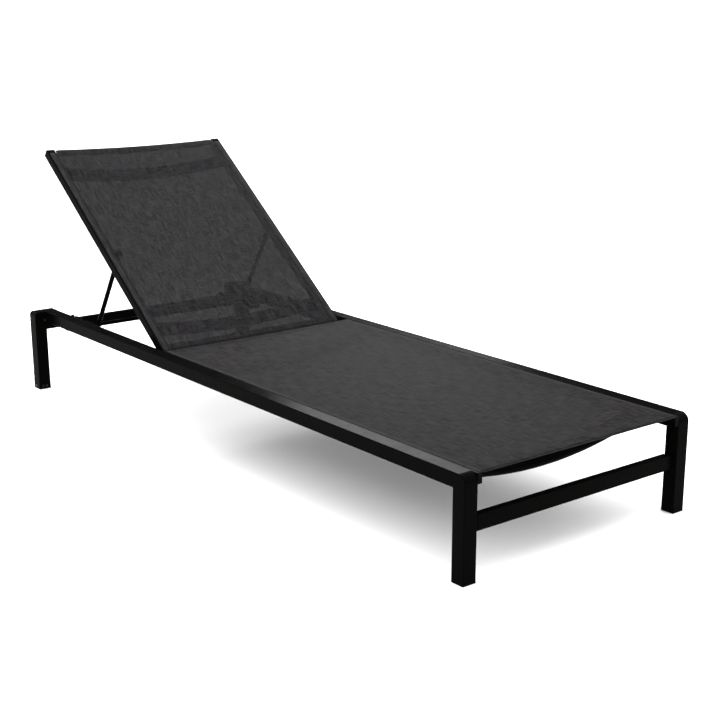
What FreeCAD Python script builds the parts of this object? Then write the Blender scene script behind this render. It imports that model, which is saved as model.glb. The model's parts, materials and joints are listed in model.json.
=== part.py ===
"""Reclining sun lounger: a powder-coated aluminium frame with a stretched sling seat and a sling back.

Frame: X across, Y along (foot end at -Y, head end at +Y), Z up, origin on the ground under the middle.
Left is -X and right is +X, as seen from the foot end. All lengths are in millimetres.
"""
import FreeCAD, Part
import math
import os

import Sketcher
from FreeCAD import Placement, Rotation, Vector

SIZES = (
    ("overall_length", 2000, "foot face of the foot legs to rear face of the head legs"),
    ("rail_span", 725, "outer face to outer face of the side rails"),
    ("base_height", 250, "ground to the top of the rails"),
    ("rail_wide", 38, "rail tube, across"),
    ("rail_high", 35, "rail tube, upright"),
    ("leg_deep", 38, "foot leg, along the lounger"),
    ("head_leg_deep", 40, "head leg, along the lounger"),
    ("foot_corner", 22, "outer radius where a rail turns into its foot leg"),
    ("head_corner", 12, "outer radius at the top of a head leg"),
    ("tube_wall", 2, "wall of the frame tubes"),
    ("tube_edge", 2, "rounding of the frame tubes' edges"),
    ("corner_block", 60, "solid welded corner at the closed end of a tube"),
    ("glide_base", 4, "thickness of a foot glide under its leg"),
    ("glide_plug", 22, "height of the glide's plug inside its leg"),
    ("cross_high", 38, "crossbar tube, upright"),
    ("cross_deep", 20, "crossbar tube, along the lounger"),
    ("foot_cross_half", 312, "half the length of the foot crossbar's tube"),
    ("head_cross_half", 286, "half the length of the head crossbar's tube"),
    ("connector_plug", 30, "length of a connector's plug inside its crossbar"),
    ("seat_foot", 995, "foot end of the sling channels, from the middle"),
    ("seat_head", 286, "head end of the sling channels, from the middle"),
    ("channel_wide", 12.5, "seat sling channel, across"),
    ("channel_high", 25, "seat sling channel, upright"),
    ("slot_in", 4.5, "rail's inner face to the middle of the channel's slot"),
    ("slot_wide", 3, "slot that the seat sling goes down into"),
    ("slot_deep", 6, "depth of that slot down to the rod's bore"),
    ("keder_bore", 7.4, "bore that holds a sling's edge rod"),
    ("keder_rod", 6.4, "rod inside a sling's hem"),
    ("cloth", 1.3, "thickness of the sling fabric"),
    ("bow_tube", 38, "diameter of the bowed spreader tubes"),
    ("bow_wall", 1.5, "wall of the bowed spreader tubes"),
    ("seat_bow", 42, "how far a seat spreader bows down"),
    ("back_bow", 28, "how far a back spreader bows away from the sling"),
    ("bow_sweep", 34, "angle of arc, in degrees, that a spreader is cut from"),
    ("flange_side", 44, "square end flange of a seat spreader"),
    ("flange_thick", 4, "thickness of that flange"),
    ("spreader_high", 217, "end of a seat spreader above the ground"),
    ("spreader_foot", 860, "seat spreader at the foot end, from the middle"),
    ("spreader_head", 215, "seat spreader at the head end, from the middle"),
    ("back_half", 312, "half the width of the back, over its side tubes"),
    ("back_length", 841, "recline pivot to the top end of a side tube"),
    ("back_tail", 14, "side tube below the recline pivot"),
    ("sling_start", -4, "lower edge of the back sling, from the recline pivot"),
    ("sling_short", 10, "back sling's upper edge below the top end of a side tube"),
    ("spreader_top", 752, "upper spreader of the back, from the recline pivot"),
    ("spreader_low", 98, "lower spreader of the back, from the recline pivot"),
    ("spreader_off", 8, "ends of those spreaders behind the middle of the side tubes"),
    ("back_wide", 28, "side tube, across"),
    ("back_deep", 25, "side tube, square to the sling"),
    ("back_slot_wide", 2.6, "slot in the upper face of a side tube"),
    ("back_slot_in", 5.8, "side tube's outer face to the middle of that slot"),
    ("pivot_along", 328, "recline pivot, towards the head from the middle"),
    ("pivot_high", 232, "recline pivot above the ground"),
    ("pivot_bolt", 8, "diameter of the pivot bolts and stay pins"),
    ("running_fit", 0.05, "radial clearance round a pivot bolt"),
    ("spacer", 14, "diameter of the bush between a side tube and its rail"),
    ("rest_angle", 37, "angle of the back, in degrees, as it stands here"),
    ("stay_up_back", 393, "recline pivot to stay pivot, along the side tube"),
    ("stay_off", 264, "middle of a stay arm, from the middle of the lounger"),
    ("stay_tube", 14, "diameter of a stay arm"),
    ("stay_eye", 20, "diameter of the eye at the top of a stay arm"),
    ("stay_boss", 15.6, "diameter of the boss at the foot of a stay arm"),
    ("stay_flat", 12, "thickness of that eye and boss"),
    ("stay_foot_along", 799.8, "stay rod, towards the head from the middle"),
    ("stay_foot_high", 224, "stay rod above the ground"),
    ("stay_rod", 12, "diameter of the rod between the stay arms"),
    ("notch_wide", 13.4, "width of a notch in the rack"),
    ("rack_off", 273, "inner face of the rack's toothed plate, from the middle"),
    ("rack_thick", 6, "thickness of the rack's bracket"),
    ("rack_top", 228.5, "top of the teeth above the ground"),
    ("rack_low", 200, "underside of the rack's shelf above the ground"),
    ("rack_run", 178, "length of the rack"),
    ("end_cap", 4, "thickness of a plastic end cap"),
    ("cross_recess", 12, "crossbar's foot-facing face behind that of its legs"),
    ("foot_cross_low", 112, "underside of the foot crossbar above the ground"),
    ("head_cross_low", 172.5, "underside of the head crossbar above the ground"),
)


class Size:
    """A length that knows both its number and the spreadsheet expression that gives it."""

    def __init__(self, value, text):
        self.value = value
        self.text = text

    def _join(self, sign, other, value):
        text = other.text if isinstance(other, Size) else repr(other)
        return Size(value, f"({self.text} {sign} {text})")

    def __add__(self, other):
        return self._join("+", other, self.value + number(other))

    def __sub__(self, other):
        return self._join("-", other, self.value - number(other))

    def __mul__(self, other):
        return self._join("*", other, self.value * number(other))

    def __truediv__(self, other):
        return self._join("/", other, self.value / number(other))

    def __radd__(self, other):
        return Size(other + self.value, f"({other!r} + {self.text})")

    def __rsub__(self, other):
        return Size(other - self.value, f"({other!r} - {self.text})")

    def __neg__(self):
        return Size(-self.value, f"(-1 * {self.text})")


def number(size):
    return size.value if isinstance(size, Size) else float(size)


doc = FreeCAD.newDocument("sun_lounger")
sheet = doc.addObject("Spreadsheet::Sheet", "Sizes")
for row, (alias, value, meaning) in enumerate(SIZES, start=1):
    sheet.set(f"A{row}", meaning)
    sheet.set(f"B{row}", str(value))
    sheet.setAlias(f"B{row}", alias)
doc.recompute()


class Dims:
    """The driving sizes, each under its own name."""


d = Dims()
for alias, value, meaning in SIZES:
    setattr(d, alias, Size(float(value), f"Sizes.{alias}"))

parts = []
PLANE_YZ = "YZ_Plane"
PLANE_XZ = "XZ_Plane"
PLANE_XY = "XY_Plane"
SIDES = (("left", -1), ("right", 1))


# ---------------------------------------------------------------- building blocks

def bind(obj, prop, size):
    """Give a property its number, tied to the sheet where the size comes from there."""
    if isinstance(size, Size):
        obj.setExpression(prop, size.text)
    else:
        setattr(obj, prop, size)


def new_body(label):
    body = doc.addObject("PartDesign::Body", label)
    body.Label = label
    return body


def finish(obj, x=0.0, y=0.0, z=0.0, frame=None):
    """Place a sub-part, in the ground frame or in a tilted one, and list it."""
    place = Placement(Vector(number(x), number(y), number(z)), Rotation())
    obj.Placement = frame.multiply(place) if frame else place
    parts.append(obj)
    return obj


def sketch_on(body, role, offset=0.0):
    """A sketch on one of the body's own planes, moved along that plane's normal."""
    sketch = body.newObject("Sketcher::SketchObject", body.Name + "_sketch")
    plane = next(f for f in body.Origin.OriginFeatures if f.Role == role)
    sketch.AttachmentSupport = (plane, [""])
    sketch.MapMode = "FlatFace"
    sketch.AttachmentOffset = Placement(Vector(0, 0, number(offset)), Rotation())
    if isinstance(offset, Size):
        sketch.setExpression("AttachmentOffset.Base.z", offset.text)
    return sketch


def pin_point(sketch, geometry, position, x, y):
    """Tie a point of the sketch to its distances from the sketch's origin."""
    for kind, axis, size in (("DistanceX", -2, x), ("DistanceY", -1, y)):
        if abs(number(size)) < 1e-9:
            sketch.addConstraint(Sketcher.Constraint("PointOnObject", geometry, position, axis))
            continue
        datum = Sketcher.Constraint(kind, -1, 1, geometry, position, number(size))
        index = sketch.addConstraint(datum)
        if isinstance(size, Size):
            sketch.setExpression(f"Constraints[{index}]", size.text)


def polygon(sketch, points):
    """A closed outline of straight lines through the given points."""
    corners = [Vector(number(x), number(y), 0) for x, y in points]
    first = sketch.GeometryCount
    count = len(corners)
    for i in range(count):
        sketch.addGeometry(Part.LineSegment(corners[i], corners[(i + 1) % count]), False)
    for i in range(count):
        following = first + (i + 1) % count
        sketch.addConstraint(Sketcher.Constraint("Coincident", first + i, 2, following, 1))
    for i, (x, y) in enumerate(points):
        pin_point(sketch, first + i, 1, x, y)


def rectangle(sketch, x0, y0, x1, y1):
    polygon(sketch, [(x0, y0), (x1, y0), (x1, y1), (x0, y1)])


def circle(sketch, x, y, radius):
    middle = Vector(number(x), number(y), 0)
    geometry = sketch.addGeometry(Part.Circle(middle, Vector(0, 0, 1), number(radius)), False)
    pin_point(sketch, geometry, 3, x, y)
    index = sketch.addConstraint(Sketcher.Constraint("Radius", geometry, number(radius)))
    if isinstance(radius, Size):
        sketch.setExpression(f"Constraints[{index}]", radius.text)


def feature(body, kind, sketch, length, reverse=False, midplane=False):
    """A Pad or a Pocket of the sketch; a Pocket has to take something away."""
    before = body.Tip.Shape.Volume if kind == "Pocket" else 0.0
    made = body.newObject("PartDesign::" + kind, f"{body.Name}_{kind}")
    made.Profile = sketch
    made.Reversed = reverse
    made.Midplane = midplane
    if length is None:
        made.Type = "ThroughAll"
    else:
        bind(made, "Length", length)
    doc.recompute()
    if kind == "Pocket" and made.Shape.Volume > before - 1e-3:
        raise RuntimeError(f"{made.Name} takes nothing away")
    return made


def pad(body, sketch, length, reverse=False, midplane=False):
    return feature(body, "Pad", sketch, length, reverse, midplane)


def pocket(body, sketch, length=None, reverse=False, midplane=False):
    return feature(body, "Pocket", sketch, length, reverse, midplane)


def drill(body, role, offset, centres, radius, depth, reverse=False):
    """Round holes of one size, from a plane moved along its normal."""
    holes = sketch_on(body, role, offset)
    for x, y in centres:
        circle(holes, x, y, radius)
    return pocket(body, holes, depth, reverse)


def round_edges(body, radius, wanted):
    """Round every edge of the body so far that the test picks by its two end points."""
    base = body.Tip
    names = []
    for i, edge in enumerate(base.Shape.Edges, start=1):
        ends = [vertex.Point for vertex in edge.Vertexes]
        if wanted(ends[0], ends[-1]):
            names.append(f"Edge{i}")
    made = body.newObject("PartDesign::Fillet", body.Name + "_Fillet")
    made.Base = (base, names)
    bind(made, "Radius", radius)
    doc.recompute()
    return made


def along(axis, reach=0.0):
    """A test for straight edges parallel to an axis (0, 1 or 2) and longer than reach."""
    others = [i for i in range(3) if i != axis]

    def wanted(a, b):
        level = all(abs(a[i] - b[i]) < 1e-4 for i in others)
        return level and abs(a[axis] - b[axis]) > reach
    return wanted


def turned(radius, height, centre, axis):
    """A plain cylinder that starts at a point and runs along a direction."""
    return Part.makeCylinder(radius, height, Vector(*centre), Vector(*axis))


def screw(head, axis, head_radius=4.5, head_high=2.4, shank_radius=2.5, shank=8.0):
    """A low-headed screw: its head stands out along the axis from the point under the head."""
    point = Vector(*head)
    outward = Vector(*axis)
    dome = Part.makeCylinder(head_radius, head_high, point, outward)
    rim = max(dome.Edges, key=lambda e: (e.CenterOfMass - point).dot(outward))
    dome = dome.makeFillet(head_high * 0.6, [rim])
    recess = point + outward * head_high * 0.45
    drive = Part.makeCylinder(shank_radius * 0.7, head_high * 0.6, recess, outward)
    body = Part.makeCylinder(shank_radius, shank, point, outward * -1)
    return dome.cut(drive).fuse(body).removeSplitter()


def group(label, solids):
    """Identical small pieces that share one node."""
    obj = doc.addObject("Part::Feature", label)
    obj.Label = label
    obj.Shape = Part.makeCompound(solids)
    return finish(obj)


# ---------------------------------------------------------------- derived places

half_span = d.rail_span / 2
rail_inner = half_span - d.rail_wide
half_length = d.overall_length / 2
rail_end = d.overall_length - d.head_leg_deep
rail_under = d.base_height - d.rail_high
channel_top = d.base_height - 1
channel_inner = rail_inner - d.channel_wide
slot_middle = rail_inner - d.slot_in
channel_run = d.seat_head + d.seat_foot
channel_low = channel_top - d.channel_high
leg_face = half_length - d.head_leg_deep
leg_outer = half_span + d.rail_wide

# Fixings: each is a height above the ground or a distance along, with the screw's own radius.
SCREW_RADIUS = 2.5
RACK_SCREWS = (825.0, 915.0)
RACK_SCREW_HIGH = 221.5
FLANGE_SCREWS = (-17.0, 17.0)
FLANGE_SCREW_UP = 17.0
RIVET_RADIUS = 1.6
RIVET_HIGH = 10.0
RIVET_DEEP = 5.0
FRONT_RIVETS = (12.0, 24.0)
LEG_SCREW = (44.0, 223.0)
PLUG_SPOT = (169.0, 23.5)
CONNECTOR_SCREW = 15.0

# How far a connector's block stays inside its crossbar's underside and top; it stands proud below 0.
FOOT_BLOCK = (2.0, 2.0)
HEAD_BLOCK = (16.5, -4.5)

# The lug that holds the stay's pin on a side tube, and the play left beside moving parts.
LUG_LONG = 26.0
LUG_DEEP = 20.0
LUG_THICK = 12.0
LUG_CORNER = 6.0
SIDE_PLAY = 0.3
ROD_PLAY = 0.6
BOLT_THREAD = 8.3

# How far below a side tube's upper face the sling's rod lies, and how far the cloth's edge reaches down.
ROD_DEEP = 6.2
LIP_DEEP = 2.8

# Back angles, in degrees, of the two notches below the top one.
LOWER_POSITIONS = (30.0, 22.0)

back_inner = d.back_half - d.back_wide
HALF_DEEP = number(d.back_deep) / 2

# The back is drawn lying along +Y from its pivot, with +Z square to its sling, and then tilted.
back_frame = Placement(
    Vector(0, number(d.pivot_along), number(d.pivot_high)),
    Rotation(Vector(1, 0, 0), number(d.rest_angle)),
)


def on_back(along_back, off=0.0):
    """Where a point of the back's side view stands above the ground, as (y, z)."""
    point = back_frame.multVec(Vector(0, along_back, off))
    return point.y, point.z


stay_top = on_back(number(d.stay_up_back))
stay_run = (number(d.stay_foot_along) - stay_top[0], number(d.stay_foot_high) - stay_top[1])
stay_length = math.hypot(*stay_run)
stay_angle = math.degrees(math.atan2(stay_run[1], stay_run[0]))
stay_frame = Placement(Vector(0, *stay_top), Rotation(Vector(1, 0, 0), stay_angle))


# ---------------------------------------------------------------- base: rails and legs

def side_outline():
    """Side view of a rail and its foot leg as one bent bar, measured from the foot face and the ground."""
    return [
        (0, d.glide_base), (d.leg_deep, d.glide_base), (d.leg_deep, rail_under),
        (rail_end, rail_under), (rail_end, d.base_height), (0, d.base_height),
    ]


def bent_bar(label):
    """The bent bar with its rounded outer corner, before it is cut at the mitre."""
    body = new_body(label)
    outline = sketch_on(body, PLANE_YZ)
    polygon(outline, side_outline())
    pad(body, outline, d.rail_wide)
    top = number(d.base_height)
    round_edges(body, d.foot_corner, lambda a, b: all(
        abs(p.y) < 1e-4 and abs(p.z - top) < 1e-4 for p in (a, b)))
    return body


def mitre(body, far_end):
    """Cut away everything on the far side of the weld that runs through the corner."""
    corner = [(d.leg_deep, rail_under), (0, d.base_height)]
    cut = sketch_on(body, PLANE_YZ)
    polygon(cut, corner + far_end)
    pocket(body, cut, None, reverse=True)


def long_edges(a, b):
    """The edges that run along a tube, and the arcs where it turns its outer corner."""
    same_side = abs(a.x - b.x) < 1e-4
    on_face = min(abs(a.x), abs(a.x - number(d.rail_wide))) < 1e-4
    run = (b - a).Length
    mitred = min(a.z, b.z) < number(rail_under) + 1e-3 and max(a.z, b.z) > number(rail_under) + 10
    slanted = mitred and abs(a.y - b.y) > 1
    at_end = min(a.y, b.y) > number(rail_end) - 1e-3 or max(a.z, b.z) < number(d.glide_base) + 1e-3
    return same_side and on_face and run > 5 and not slanted and not at_end


def rail(name, side):
    body = bent_bar("rail_" + name)
    mitre(body, [(0, d.glide_base), (d.leg_deep, d.glide_base)])
    round_edges(body, d.tube_edge, long_edges)
    bore = sketch_on(body, PLANE_XZ, -rail_end)
    rectangle(bore, d.tube_wall, rail_under + d.tube_wall,
              d.rail_wide - d.tube_wall, d.base_height - d.tube_wall)
    pocket(body, bore, rail_end - d.corner_block, reverse=True)
    inner_face = 0 if side > 0 else d.rail_wide
    bolt_hole = [(half_length + d.pivot_along, d.pivot_high)]
    drill(body, PLANE_YZ, inner_face, bolt_hole, d.pivot_bolt / 2, d.tube_wall + 1, side > 0)
    rack_holes = [(half_length + y, RACK_SCREW_HIGH) for y in RACK_SCREWS]
    drill(body, PLANE_YZ, inner_face, rack_holes, SCREW_RADIUS, d.tube_wall + 1, side > 0)
    left_face = rail_inner if side > 0 else -half_span
    finish(body, left_face, -half_length)


def foot_leg(name, side):
    body = bent_bar("foot_leg_" + name)
    mitre(body, [(rail_end, d.base_height), (rail_end, rail_under)])
    round_edges(body, d.tube_edge, long_edges)
    hollow_leg(body, d.tube_wall, d.rail_wide - d.tube_wall, d.leg_deep, 0)
    left_face = rail_inner if side > 0 else -half_span
    finish(body, left_face, -half_length)


def hollow_leg(body, x0, x1, deep, rear):
    """Open a leg from underneath up to its solid corner."""
    bore = sketch_on(body, PLANE_XY, d.glide_base)
    rectangle(bore, x0, d.tube_wall + rear, x1, deep - d.tube_wall + rear)
    pocket(body, bore, d.base_height - d.glide_base - d.corner_block, reverse=True)


def head_leg(name, side):
    """A leg beside the rail whose top turns inwards and takes the rail's end."""
    body = new_body("head_leg_" + name)
    outline = sketch_on(body, PLANE_XZ)
    inner, outer = d.rail_wide * side, (d.rail_wide * 2) * side
    polygon(outline, [
        (0, rail_under), (inner, rail_under), (inner, d.glide_base),
        (outer, d.glide_base), (outer, d.base_height), (0, d.base_height),
    ])
    pad(body, outline, d.head_leg_deep)
    tip = number(outer)
    top = number(d.base_height)
    round_edges(body, d.head_corner, lambda a, b: all(
        abs(p.x - tip) < 1e-4 and abs(p.z - top) < 1e-4 for p in (a, b)))
    faces = (0.0, -number(d.head_leg_deep))
    low = number(d.glide_base) + 1e-3
    round_edges(body, d.tube_edge, lambda a, b: abs(a.y - b.y) < 1e-4
                and min(abs(a.y - f) for f in faces) < 1e-4
                and max(a.z, b.z) > low and max(abs(a.x), abs(b.x)) > 1e-3)
    wall = d.tube_wall * side
    hollow_leg(body, inner + wall, outer - wall, d.head_leg_deep, -d.head_leg_deep)
    rivets = [(outer - x * side, RIVET_HIGH) for x in FRONT_RIVETS]
    drill(body, PLANE_XZ, d.head_leg_deep, rivets, RIVET_RADIUS, d.tube_wall + 1)
    drill(body, PLANE_XZ, d.head_leg_deep, [(LEG_SCREW[0] * side, LEG_SCREW[1])], SCREW_RADIUS, 8)
    side_rivet = [(-d.head_leg_deep / 2, RIVET_HIGH)]
    drill(body, PLANE_YZ, outer, side_rivet, RIVET_RADIUS, d.tube_wall + 1, side < 0)
    finish(body, rail_inner * side, half_length)


def glide(label, x0, y0, deep, riveted_side=0):
    """A plastic foot: a base as big as the leg and a plug that fills the leg's bore."""
    body = new_body(label)
    base = sketch_on(body, PLANE_XY)
    rectangle(base, 0.4, 0.4, d.rail_wide - 0.4, deep - 0.4)
    pad(body, base, d.glide_base)
    round_edges(body, 1.2, lambda a, b: max(a.z, b.z) < 1e-4)
    plug = sketch_on(body, PLANE_XY, d.glide_base)
    gap = d.tube_wall + 0.2
    rectangle(plug, gap, gap, d.rail_wide - gap, deep - gap)
    pad(body, plug, d.glide_plug)
    if riveted_side:
        outer = d.rail_wide if riveted_side > 0 else 0
        rivets = [(outer - x * riveted_side, RIVET_HIGH) for x in FRONT_RIVETS]
        drill(body, PLANE_XZ, 0, rivets, RIVET_RADIUS, RIVET_DEEP)
        drill(body, PLANE_YZ, outer, [(deep / 2, RIVET_HIGH)], RIVET_RADIUS, RIVET_DEEP, riveted_side < 0)
    finish(body, x0, y0)


# ---------------------------------------------------------------- base: crossbars

def crossbar(label, half, y, z, plugged=False):
    """A flat tube on edge; y is its foot-facing face and z its underside."""
    body = new_body(label)
    section = sketch_on(body, PLANE_YZ)
    rectangle(section, 0, 0, d.cross_deep, d.cross_high)
    pad(body, section, half * 2, midplane=True)
    round_edges(body, d.tube_edge, along(0, 100))
    bore = sketch_on(body, PLANE_YZ)
    rectangle(bore, d.tube_wall, d.tube_wall, d.cross_deep - d.tube_wall, d.cross_high - d.tube_wall)
    pocket(body, bore, half * 2 + 2, midplane=True)
    screws = [((half - CONNECTOR_SCREW) * sign, d.cross_high / 2) for sign in (-1, 1)]
    drill(body, PLANE_XZ, -d.cross_deep, screws, RIVET_RADIUS, d.tube_wall + 1, True)
    if plugged:
        spots = [(PLUG_SPOT[0] * sign, PLUG_SPOT[1]) for sign in (-1, 1)]
        drill(body, PLANE_XZ, 0, spots, SCREW_RADIUS, d.tube_wall + 1)
    finish(body, 0, y, z)


def connector(label, side, half, leg, y, z, drop, rise):
    """An end block from the crossbar's end to its leg, with a plug up the crossbar's bore.

    drop and rise are how far the block stays inside the crossbar's underside and top.
    """
    body = new_body(label)
    block = sketch_on(body, PLANE_YZ)
    rectangle(block, 2, drop, d.cross_deep - 2, d.cross_high - rise)
    pad(body, block, leg - half, reverse=side < 0)
    round_edges(body, 1.5, along(0, 5))
    plug = sketch_on(body, PLANE_YZ)
    gap = d.tube_wall + 0.2
    rectangle(plug, gap, gap, d.cross_deep - gap, d.cross_high - gap)
    pad(body, plug, d.connector_plug, reverse=side > 0)
    screw_hole = [(-CONNECTOR_SCREW * side, d.cross_high / 2)]
    drill(body, PLANE_XZ, gap - d.cross_deep, screw_hole, RIVET_RADIUS, RIVET_DEEP, True)
    finish(body, half * side, y, z)


# ---------------------------------------------------------------- base: seat sling and its channels

def channel(name, side):
    """An extrusion on the rail's inner face; its slot takes the sling's edge and the rod inside it."""
    body = new_body("sling_channel_" + name)
    section = sketch_on(body, PLANE_XZ)
    rectangle(section, 0, 0, d.channel_wide * side, d.channel_high)
    pad(body, section, channel_run, reverse=True)
    slot_x = (d.channel_wide - d.slot_in) * side
    rod_z = d.channel_high - d.slot_deep - d.keder_bore / 2 + 1
    bore = sketch_on(body, PLANE_XZ)
    circle(bore, slot_x, rod_z, d.keder_bore / 2)
    pocket(body, bore, None)
    slot = sketch_on(body, PLANE_XZ)
    rectangle(slot, slot_x - d.slot_wide / 2, rod_z, slot_x + d.slot_wide / 2, d.channel_high)
    pocket(body, slot, None)
    hollow = sketch_on(body, PLANE_XZ)
    rectangle(hollow, d.tube_wall * side, d.tube_wall, (d.channel_wide - d.tube_wall) * side, 11)
    pocket(body, hollow, None)
    screws = [(d.seat_foot + y + step, d.spreader_high + FLANGE_SCREW_UP - channel_low)
              for y in (-d.spreader_foot, d.spreader_head) for step in FLANGE_SCREWS]
    drill(body, PLANE_YZ, 0, screws, SCREW_RADIUS, d.tube_wall, side > 0)
    finish(body, channel_inner * side, -d.seat_foot, channel_low)
    rod = new_body("seat_keder_" + name)
    section = sketch_on(rod, PLANE_XZ)
    circle(section, 0, 0, d.keder_rod / 2)
    pad(rod, section, channel_run - 2, reverse=True)
    finish(rod, slot_middle * side, -d.seat_foot + 1, channel_low + rod_z)


def channel_caps():
    """Four plastic caps, one on each end of each channel."""
    caps = []
    size = (number(d.channel_wide), number(d.end_cap), number(d.channel_high))
    for name, side in SIDES:
        x0 = min(side * number(channel_inner), side * number(rail_inner))
        for y0 in (number(-d.seat_foot - d.end_cap), number(d.seat_head)):
            cap = Part.makeBox(*size, Vector(x0, y0, number(channel_low)))
            caps.append(cap.makeFillet(1.0, [e for e in cap.Edges if abs(e.tangentAt(0).z) > 0.9]))
    group("channel_end_caps", caps)


def seat_sling():
    """Fabric stretched flat between the channels, with an edge turned down into each slot."""
    body = new_body("seat_sling")
    over = 6.0
    outer = slot_middle + d.cloth / 2
    top = sketch_on(body, PLANE_XZ)
    rectangle(top, -outer, 0, outer, d.cloth)
    pad(body, top, channel_run + over + 2, reverse=True)
    edges = sketch_on(body, PLANE_XZ, -over)
    for sign in (-1, 1):
        rectangle(edges, (outer - d.cloth) * sign, -d.slot_deep + 1.2, outer * sign, d.cloth)
    pad(body, edges, channel_run, reverse=True)
    finish(body, 0, -d.seat_foot - over, channel_top + 0.2)


# ---------------------------------------------------------------- bowed spreaders

def bowed_tube(label, half, bow):
    """A round tube on a long arc about the body's own Y axis, cut square at both ends.

    Its lowest point is one arc radius below the body's origin.
    """
    radius = (half * half + bow * bow) / (bow * 2)
    body = new_body(label)
    section = sketch_on(body, PLANE_YZ)
    circle(section, 0, -radius, d.bow_tube / 2)
    circle(section, 0, -radius, d.bow_tube / 2 - d.bow_wall)
    made = body.newObject("PartDesign::Revolution", body.Name + "_Revolution")
    made.Profile = section
    made.ReferenceAxis = (section, ["H_Axis"])
    made.Midplane = True
    bind(made, "Angle", d.bow_sweep)
    doc.recompute()
    spare = half * 2
    for sign in (-1, 1):
        trim = sketch_on(body, PLANE_XZ)
        rectangle(trim, half * sign, -(radius + d.bow_tube), spare * sign, -(radius - d.bow_tube * 3))
        pocket(body, trim, d.bow_tube * 2, midplane=True)
    return body, radius


def seat_spreader(label, y):
    """A bowed tube under the seat with a flat flange at each end, screwed to the channels."""
    half = channel_inner - d.flange_thick
    body, radius = bowed_tube(label, half, d.seat_bow)
    for sign in (-1, 1):
        flange = sketch_on(body, PLANE_YZ, half * sign)
        level = d.seat_bow - radius
        rectangle(flange, -d.flange_side / 2, level - d.flange_side / 2,
                  d.flange_side / 2, level + d.flange_side / 2)
        pad(body, flange, d.flange_thick, reverse=sign < 0)
        screws = [(step, level + FLANGE_SCREW_UP) for step in FLANGE_SCREWS]
        drill(body, PLANE_YZ, half * sign, screws, SCREW_RADIUS, d.flange_thick, sign > 0)
    finish(body, 0, y, d.spreader_high - d.seat_bow + radius)


def seat_spreader_screws(rows):
    """Two screws through each flange into the channel."""
    screws = []
    high = number(d.spreader_high) + FLANGE_SCREW_UP
    shank = number(d.flange_thick + d.tube_wall)
    for y in rows:
        for name, side in SIDES:
            face = side * number(channel_inner - d.flange_thick)
            for step in FLANGE_SCREWS:
                place = (face, number(y) + step, high)
                screws.append(screw(place, (-side, 0, 0), 4.2, 2.2, SCREW_RADIUS, shank))
    group("spreader_screws", screws)


# ---------------------------------------------------------------- recline rack

def rack(name, side):
    """A bracket on the rail: a shelf that reaches inwards under the back's side tube and a toothed plate."""
    body = new_body("recline_rack_" + name)
    start = d.stay_foot_along - 20
    section = sketch_on(body, PLANE_XZ, -start)
    inner = d.rack_off * side
    plate = (d.rack_off + d.rack_thick) * side
    rectangle(section, inner, d.rack_low, rail_inner * side, d.rack_low + d.rack_thick)
    pad(body, section, d.rack_run, reverse=True)
    upright = sketch_on(body, PLANE_XZ, -start)
    rectangle(upright, inner, d.rack_low, plate, d.rack_top)
    pad(body, upright, d.rack_run, reverse=True)
    wing = sketch_on(body, PLANE_XZ, -start)
    wall_plate = (rail_inner - d.rack_thick / 2) * side
    rectangle(wing, wall_plate, d.rack_low, rail_inner * side, d.rack_top)
    pad(body, wing, d.rack_run, reverse=True)
    screws = [(y, RACK_SCREW_HIGH) for y in RACK_SCREWS]
    drill(body, PLANE_YZ, wall_plate, screws, SCREW_RADIUS, d.rack_thick / 2, side > 0)
    for y in notch_places():
        notch = sketch_on(body, PLANE_YZ, inner)
        half = d.notch_wide / 2
        circle(notch, y, d.stay_foot_high, half)
        pocket(body, notch, d.rack_thick + 1, reverse=side > 0)
        mouth = sketch_on(body, PLANE_YZ, inner)
        rectangle(mouth, y - half, d.stay_foot_high, half + y, d.rack_top + 2)
        pocket(body, mouth, d.rack_thick + 1, reverse=side > 0)
    finish(body)


def notch_places():
    """Where the stay's rod comes down for each raised position of the back, as the rod keeps its height."""
    places = [number(d.stay_foot_along)]
    for degrees in LOWER_POSITIONS:
        tilt = math.radians(degrees)
        high = number(d.pivot_high) + number(d.stay_up_back) * math.sin(tilt)
        drop = high - number(d.stay_foot_high)
        reach = math.sqrt(stay_length ** 2 - drop ** 2)
        places.append(number(d.pivot_along) + number(d.stay_up_back) * math.cos(tilt) + reach)
    return places


def rack_screws():
    """Two screws in each rack's wall plate, into the rail."""
    screws = []
    face = number(rail_inner - d.rack_thick / 2)
    shank = number(d.rack_thick / 2 + d.tube_wall)
    for name, side in SIDES:
        for y in RACK_SCREWS:
            place = (side * face, y, RACK_SCREW_HIGH)
            screws.append(screw(place, (-side, 0, 0), 4.2, 2.2, SCREW_RADIUS, shank))
    group("rack_screws", screws)


# ---------------------------------------------------------------- the back

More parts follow.
